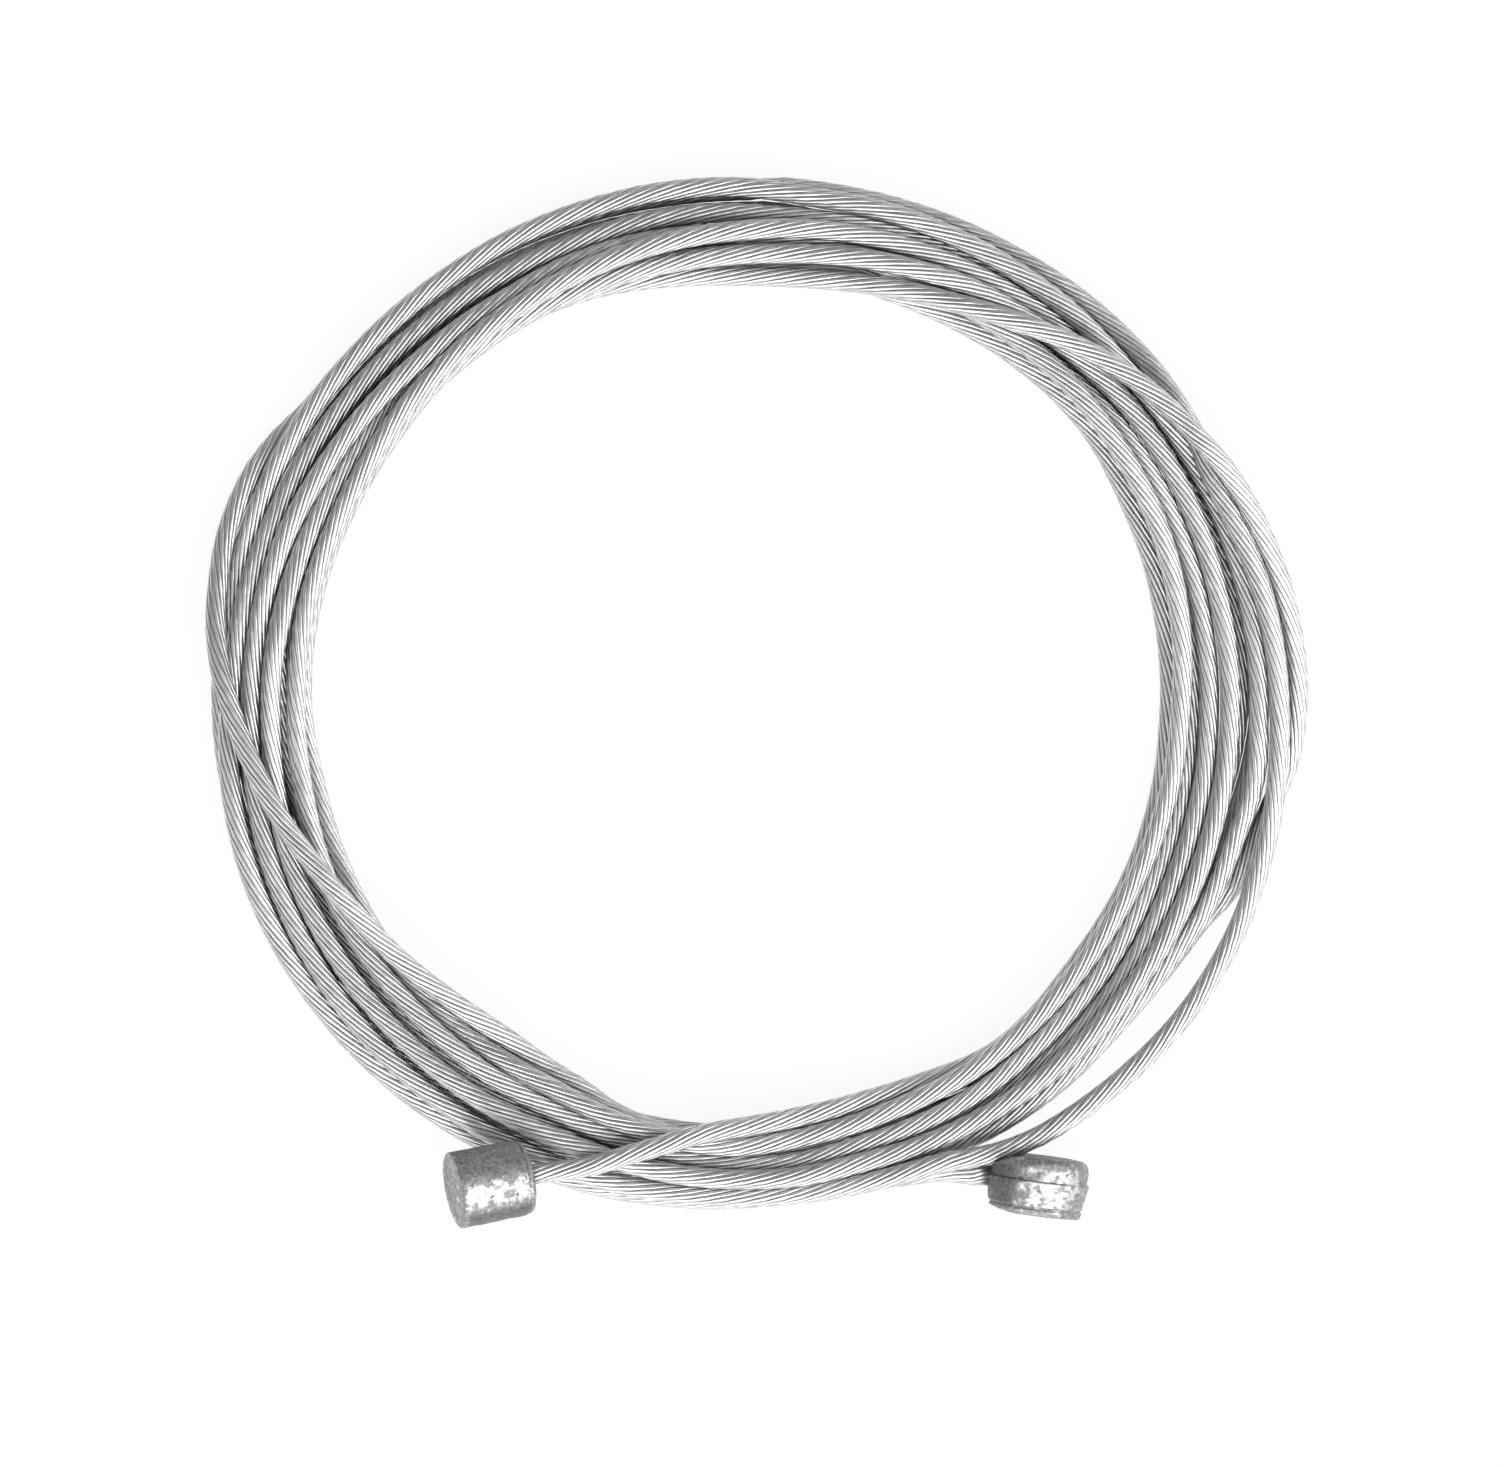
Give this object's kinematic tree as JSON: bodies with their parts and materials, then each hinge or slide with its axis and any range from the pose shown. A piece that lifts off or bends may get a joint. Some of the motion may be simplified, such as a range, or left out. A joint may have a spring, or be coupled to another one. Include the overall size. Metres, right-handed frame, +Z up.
{
  "type": "shift cable",
  "caption": "Thin stranded steel gear cable wound into a slim ring, with a small cylinder head cast on one tip and a crosswise barrel head cast on the other.",
  "frame": {"origin": "middle of the whole part's footprint, on the surface that the ring lies on", "axes": "+Z up through the ring, +X along the ring's longer diameter, with the ends and their heads on the -Y side"},
  "size_m": [0.0622, 0.0594, 0.0075],
  "materials": {
    "steel_strand": "twisted round wires of drawn galvanised steel, satin, with dark grooves between the wires",
    "cast_zinc": "light grey die-cast zinc alloy, mottled and slightly pitted, with smeared bright patches"
  },
  "bodies": {
    "root": {"cable_coil": "steel_strand", "cable_end_to_cylinder": "steel_strand", "cable_end_to_barrel": "steel_strand", "cylinder_head": "cast_zinc", "barrel_head": "cast_zinc"}
  },
  "joints": []
}
